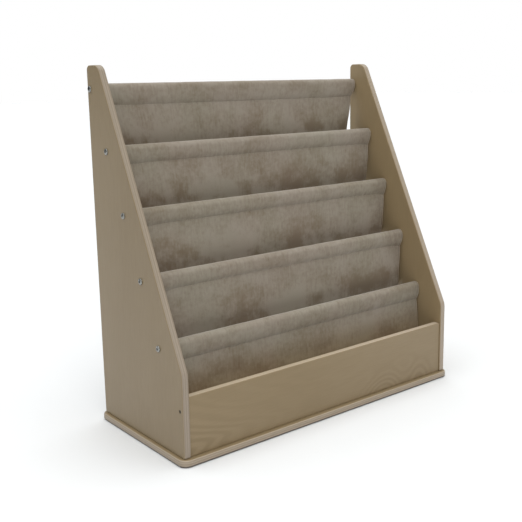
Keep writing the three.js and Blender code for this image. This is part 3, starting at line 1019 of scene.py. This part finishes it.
def columns(half_width):
    """Places across the cloth, closer together at the hems."""
    inner = half_width - HEM_WIDTH
    hem = inner + np.array(HEM_STEPS)
    count = round(2 * inner / COLUMN_STEP)
    middle = inner - HEM_MARGIN
    return np.concatenate([-hem[::-1], np.linspace(-middle, middle, count), hem])


class Cloth:
    """A hung sheet of cloth with folded side hems, swept along a middle line."""

    def __init__(self, number, points):
        rod = rod_centre(number)
        self.half_width = cloth_half_width()
        self.draw_in = DRAW_INS[number - 1]
        self.belly = BELLIES[number - 1]
        self.seed = 10 * number
        self.drop = seam_drop(number)
        self.rises = [*SEAM_RISES, 0][number - 1:number + 1]
        head = sleeve_points(number)
        self.seam = np.hypot(*np.diff(np.array(head), axis=0).T).sum()

        def spacing_at(s):
            near_seam = min(abs(s - self.seam), abs(s - SEAM_ALLOWANCE))
            return next(step for reach, step in ROW_STEPS if near_seam < reach)

        self.line, self.s = resample([*head, *points], spacing_at)
        self.length = self.s[-1]
        tangent = np.gradient(self.line, self.s, axis=0)
        tangent /= np.hypot(*tangent.T)[:, None]
        self.normal = np.stack([tangent[:, 1], -tangent[:, 0]], 1)
        drop = np.where(self.s < self.seam, np.clip(rod.z - self.line[:, 1], 0, self.drop), self.drop)
        self.below_rod = drop + np.clip(self.s - self.seam, 0, None)

    def narrowing(self):
        """How far each side edge is drawn in, row by row: pinched at the seam, slack towards the bottom."""
        share = self.below_rod / self.below_rod[-1]
        slack = self.draw_in * np.sin(math.pi * share)
        hang = self.below_rod - self.drop
        return slack + SEAM_PINCH * near_to(hang, np.where(hang < 0, *PINCH_REACHES))

    def waves(self, x, s, length, share, height, draw):
        """Soft waves, from one of this cloth's own random draws."""
        return soft_field(x, share * s, length, self.seed + draw) * height

    def sway(self, x, s):
        """How far the cloth stands out from its middle line: belly, slow waves, and puckers at the seams."""
        hang = s - self.seam
        to_edge = self.half_width - np.abs(x)
        left = self.length - s
        free = rising(hang, FREE_LENGTH) * rising(left, FREE_LENGTH)
        out = self.belly * np.sin(math.pi * rising(hang, BELLY_LENGTH) ** BELLY_SHAPE)
        out += free * sum(self.waves(x, s, *wave) for wave in WALL_WAVES)

        # Edges curl back below the seam, more where the cloth is drawn in more
        curl = (1 - rising(to_edge, CURL_WIDTH)) ** 2 * rising(hang, CURL_LENGTH)
        out -= curl * (CURL_DEPTH + CURL_DRAW_SHARE * self.draw_in) * rising(left, CURL_LENGTH)

        # Gathers: fine ones right at the stitching, and broader ones up the sleeve
        fine = self.waves(x, s, *FINE_GATHERS) * near_to(hang, FINE_REACH)
        broad = self.waves(x, s, *BROAD_GATHERS) * near_to(hang + BROAD_RISE, BROAD_REACH)
        out += (fine + broad) * rising(s - SEAM_ALLOWANCE, FREE_LENGTH)
        out += self.waves(x, s, *SLEEVE_WAVES) * (hang < 0)
        out += self.waves(x, s, *LAST_GATHERS) * near_to(left, LAST_REACH)

        # Slanting pulls near the ends of the sleeve, and the crease that the stitches press in
        slant = np.sin((hang + PULL_SLANT * to_edge) / PULL_LENGTH) * near_to(to_edge, PULL_REACH_IN)
        out += slant * near_to(hang + PULL_RISE, PULL_REACH_UP) * PULL_HEIGHT * (hang < 0)
        return out - CREASE_DEPTH * bell(hang, CREASE_WIDTH)

    def slide(self, x, s):
        """How far the cloth slides down at its side edges, where the seams keep their common height."""
        hang = s - self.seam
        front = 1 - rising(np.abs(hang), np.where(hang > 0, WALL_SLIDE, SEAM_SLIDE))
        behind = 1 - rising(s - SEAM_ALLOWANCE, SEAM_SLIDE)
        last = 1 - rising(self.length - s, WALL_SLIDE)
        own, following = self.rises
        at_edge = near_to(self.half_width - np.abs(x), SLIDE_WIDTH)
        return at_edge * (own * np.maximum(front, behind) ** 2 + following * last ** 2)

    def point(self, x, s, offset):
        """A place on the cloth: x across, s along, and offset out of its middle surface."""
        index = np.interp(s, self.s, np.arange(len(self.s)))
        low = np.floor(index).astype(int)
        high = np.minimum(low + 1, len(self.s) - 1)
        share = (index - low)[..., None]
        centre = self.line[low] * (1 - share) + self.line[high] * share
        normal = self.normal[low] * (1 - share) + self.normal[high] * share
        drawn = np.interp(s, self.s, self.narrowing())
        yz = centre + normal * (offset + self.sway(x, s))[..., None]
        return np.stack([x * (1 - drawn / self.half_width), yz[..., 0], yz[..., 1] - self.slide(x, s)], -1)

    def section(self):
        """The closed loop across the cloth: place across and offset, the face first and then the back."""
        xs = columns(self.half_width)
        half = CLOTH_THICKNESS / 2
        fold = FOLD_SHARE * CLOTH_THICKNESS
        to_edge = self.half_width - np.abs(xs)
        folded = rising(HEM_WIDTH - to_edge, HEM_STEP_UP)
        groove = STITCH_GROOVE * bell(to_edge - HEM_STITCH_INSET, GROOVE_WIDTH)
        face = half - groove
        back = groove - half - fold * folded
        radius = half + fold / 2
        turn = np.radians(FOLD_TURNS)
        tip_x = xs[-1] + np.cos(turn) * radius * FOLD_BULGE_SHARE
        tip_offset = np.sin(turn) * radius - fold / 2
        loop_x = np.concatenate([xs, tip_x, xs[::-1], -tip_x[::-1]])
        loop_offset = np.concatenate([face, tip_offset, back[::-1], tip_offset[::-1]])
        return loop_x, loop_offset, len(xs), len(turn)

    def build(self, name):
        """The cloth as a closed mesh. Its flat coordinates, in metres, run across and down from the rod."""
        loop_x, loop_offset, wide, tip = self.section()
        rows, around = len(self.s), len(loop_x)
        x, s = np.meshgrid(loop_x, self.s)
        offset = np.broadcast_to(loop_offset, x.shape)
        vertices = self.point(x, s, offset).reshape(-1, 3)
        face = np.arange(wide - 1)
        back = 2 * wide + tip - 1 - face
        end = np.stack([face + 1, face, back, back - 1], 1)
        right = list(range(wide - 1, wide + tip + 1))
        left = [*range(2 * wide + tip - 1, 2 * wide + 2 * tip), 0]
        last = (rows - 1) * around
        faces = tube_faces(0, rows, around) + end.tolist() + (end[:, ::-1] + last).tolist()
        faces += [right[::-1], left[::-1], [last + i for i in right], [last + i for i in left]]
        flat = np.stack([x, s - self.seam + self.drop], -1)
        return add_mesh(name, vertices.tolist(), faces, flat.reshape(-1, 2))

    def stitch_rows(self):
        """The rows of stitches: places across and along, height over the middle surface, and direction."""
        face = CLOTH_THICKNESS / 2
        hem_x = self.half_width - HEM_STITCH_INSET
        across = np.arange(-hem_x, hem_x, STITCH_PITCH)
        along = np.arange(self.seam + STITCH_PITCH, self.length - END_STITCH_INSET / 2, STITCH_PITCH)
        for s in (SEAM_ALLOWANCE, self.seam, self.length - END_STITCH_INSET):
            yield across, np.full_like(across, s), face, True
        for x in (-hem_x, hem_x):
            yield np.full_like(along, x), along, face - STITCH_GROOVE, False
            yield np.full_like(along, x), along, -face - FOLD_STITCH_SHARE * CLOTH_THICKNESS, False

    def stitches(self, name):
        """The sewing: each stitch a short bowed thread whose ends dip into the cloth."""
        vertices, faces = [], []
        sides = np.arange(STITCH_SIDES)
        turns = 2 * math.pi * sides / STITCH_SIDES
        for xs, ss, offset, runs_across in self.stitch_rows():
            outward = 1 if offset > 0 else -1
            places = []
            for step, lift, thickness in STITCH_RING_SHARES:
                for turn in turns:
                    along = step * STITCH_LENGTH / 2
                    lateral = math.cos(turn) * STITCH_RADIUS * thickness
                    up = outward * (lift + math.sin(turn) * thickness) * STITCH_RADIUS
                    dx, ds = (along, lateral) if runs_across else (lateral, along)
                    places.append(self.point(xs + dx, ss + ds, np.full_like(xs, offset + up)))
            for stitch in np.stack(places, 1):
                first = len(vertices)
                vertices.extend(stitch.tolist())
                last = len(vertices) - STITCH_SIDES
                faces += tube_faces(first, len(STITCH_RING_SHARES), STITCH_SIDES)
                faces += [(first + sides[::-1]).tolist(), (last + sides).tolist()]
        return add_mesh(name, vertices, faces)


def tube_faces(first, rings, sides):
    """The faces round a tube whose rings' vertices follow each other."""
    start = first + np.arange(rings - 1)[:, None] * sides
    here = np.arange(sides)
    beside = (here + 1) % sides
    corners = [start + here, start + beside, start + sides + beside, start + sides + here]
    return np.stack(corners, -1).reshape(-1, 4).tolist()


def add_mesh(name, vertices, faces, flat=None):
    """A piece from vertices and faces, facing outwards. flat gives each vertex its place on the cut cloth."""
    mesh = bpy.data.meshes.new(name)
    mesh.from_pydata(vertices, [], faces)
    if flat is not None:
        corners = np.empty(len(mesh.loops), int)
        mesh.loops.foreach_get("vertex_index", corners)
        mesh.uv_layers.new(name=CLOTH_MAP).data.foreach_set("uv", flat[corners].ravel())
    piece = bpy.data.objects.new(name, mesh)
    bpy.context.scene.collection.objects.link(piece)
    with editing(piece):
        bpy.ops.mesh.select_all(action="SELECT")
        bpy.ops.mesh.normals_make_consistent(inside=False)
    smooth(piece, angle=55, weighted=False)
    return piece


def hang_cloth(cloth, node, name, suede, thread):
    piece = cloth.build(name)
    place_in_frame(piece, "suede_cloth", suede, node)
    sewing = cloth.stitches(f"{name}_stitches")
    place_in_frame(sewing, "suede_cloth", thread)


# The scene round the object

def make_stage():
    """A wide pale floor."""
    bpy.ops.mesh.primitive_plane_add(size=FLOOR_SIZE, location=(0, 0, 0))
    floor = settle(bpy.context.object, "floor")
    material, _, shader = new_material("floor", Roughness=0.9)
    shader.inputs["Base Color"].default_value = (*[FLOOR_WHITENESS] * 3, 1)
    paint(floor, material)


def add_area_light(name, place, aim, size, power, colour):
    light = bpy.data.lights.new(name, "AREA")
    light.color = colour
    light.shape = "RECTANGLE"
    light.size, light.size_y = size
    light.energy = power
    lamp = bpy.data.objects.new(name, light)
    lamp.location = place
    lamp.rotation_mode = "QUATERNION"
    lamp.rotation_quaternion = (Vector(aim) - Vector(place)).to_track_quat("-Z", "Y")
    bpy.context.scene.collection.objects.link(lamp)


def light_scene():
    """Soft light: a white dome, brightest overhead, a warm lamp in front and a cool one on the left."""
    for lamp in LAMPS:
        add_area_light(*lamp)
    world = bpy.data.worlds.new("dome")
    world.use_nodes = True
    tree = world.node_tree
    direction = put(tree, "ShaderNodeTexCoord").outputs["Generated"]
    height = calc("MAXIMUM", split(direction)["Z"], 0.0)
    glow = times(calc("POWER", height, 2.0), DOME_TOP)
    sky = tree.nodes["Background"]
    sky.inputs["Color"].default_value = DOME_TINT
    tree.links.new(plus(glow, DOME_EDGE), sky.inputs["Strength"])
    seen = put(tree, "ShaderNodeBackground", {"Color": PLAIN, "Strength": 1.0})
    is_camera = put(tree, "ShaderNodeLightPath").outputs["Is Camera Ray"]
    mixed = link("ShaderNodeMixShader", {0: is_camera, 1: sky.outputs[0], 2: seen.outputs[0]})
    tree.links.new(mixed.outputs[0], tree.nodes["World Output"].inputs["Surface"])
    bpy.context.scene.world = world
    bpy.context.scene.view_settings.view_transform = "Standard"


def make_camera():
    """The camera at the photograph's place, with its small roll and shift."""
    azimuth, elevation, roll = CAMERA_AZIMUTH, CAMERA_ELEVATION, CAMERA_ROLL
    back = Vector((math.sin(azimuth) * math.cos(elevation), -math.cos(azimuth) * math.cos(elevation),
                   math.sin(elevation)))
    right = Vector((math.cos(azimuth), math.sin(azimuth), 0))
    up = back.cross(right)
    rolled_right = right * math.cos(roll) + up * math.sin(roll)
    rolled_up = up * math.cos(roll) - right * math.sin(roll)
    camera = bpy.data.objects.new("camera", bpy.data.cameras.new("camera"))
    bpy.context.scene.collection.objects.link(camera)
    turn = Matrix((rolled_right, rolled_up, back)).transposed()
    camera.matrix_world = Matrix.Translation(CAMERA_TARGET + back * CAMERA_DISTANCE) @ turn.to_4x4()
    camera.data.lens = CAMERA_LENS
    camera.data.sensor_width = CAMERA_SENSOR
    camera.data.shift_y = (PHOTO_CENTRE_ROW - PHOTO_SIDE / 2) / PHOTO_SIDE
    camera.data.clip_end = CAMERA_REACH
    bpy.context.scene.camera = camera


def build():
    plywood = make_plywood_group()
    side_x = middle_of("side_panel_right").x
    front_y = middle_of("front_panel").y
    base_z = middle_of("base_board").z
    side_plywood = make_plywood("plywood_sides", plywood, "ZYX", side_x, mirrored=True, light_gradient=SIDE_LIGHT_GRADIENT)
    front_plywood = make_plywood("plywood_front", plywood, "XZY", front_y, figure=FRONT_FIGURE,
                                 swells=FRONT_SWELLS, light_gradient=FRONT_LIGHT_GRADIENT, edge_tone=FRONT_EDGE_TONE_AND_LIGHT)
    base_plywood = make_plywood("plywood_base", plywood, "XYZ", base_z, contact_shadow=True, veneer=BASE_VENEER,
                                edge_tone=BASE_EDGE_TONE)
    solid_wood = make_solid_wood()
    suede = make_suede_group()
    thread = make_thread()
    zinc = make_metal("zinc_plate", (0.18, 0.18, 0.17, 1), (0.38, 0.38, 0.355, 1), 0.24, 1.0)
    black = make_metal("black_steel", (0.03, 0.024, 0.015, 1), (0.07, 0.056, 0.036, 1), 0.45, 0.6)

    make_board("base_board", "base", "plywood", base_plywood, 2, BASE_CORNER, BASE_EDGE, base_screw_names())
    front_screws = [f"front_screw_{side}" for side in SIDES] + base_screw_names("front")
    make_board("front_panel", "front", "plywood", front_plywood, 1, FRONT_CORNER, FRONT_EDGE, front_screws)
    make_board("bin_batten", "batten", "solid_wood", solid_wood, 2, BATTEN_CORNER, BATTEN_EDGE,
               base_screw_names("batten"))
    for number in rod_numbers():
        make_rod(number, solid_wood)
    for side in SIDES:
        make_side_panel(side, side_plywood)
        make_screw(f"front_screw_{side}", "black_steel", black)
        for number in rod_numbers():
            make_bolt(side, number, zinc)
            paint(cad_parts[f"rod_insert_{side}_{number}"], zinc)
    for name in base_screw_names():
        make_screw(name, "zinc_plate", zinc)

    for number in range(1, SLING_COUNT + 1):
        cloth = Cloth(number, pocket_points(number))
        finish = make_suede(f"suede_{number}", suede, ROLL_PLACES[number - 1], *SLING_LOOK)
        hang_cloth(cloth, f"sling_{number}", f"sling_cloth_{number}", finish, thread)
    cloth = Cloth(ROD_COUNT, bin_points())
    finish = make_suede("suede_bin", suede, ROLL_PLACES[-1], *BIN_LOOK)
    hang_cloth(cloth, "bin_back_cloth", "bin_cloth", finish, thread)


build()
make_stage()
light_scene()
make_camera()
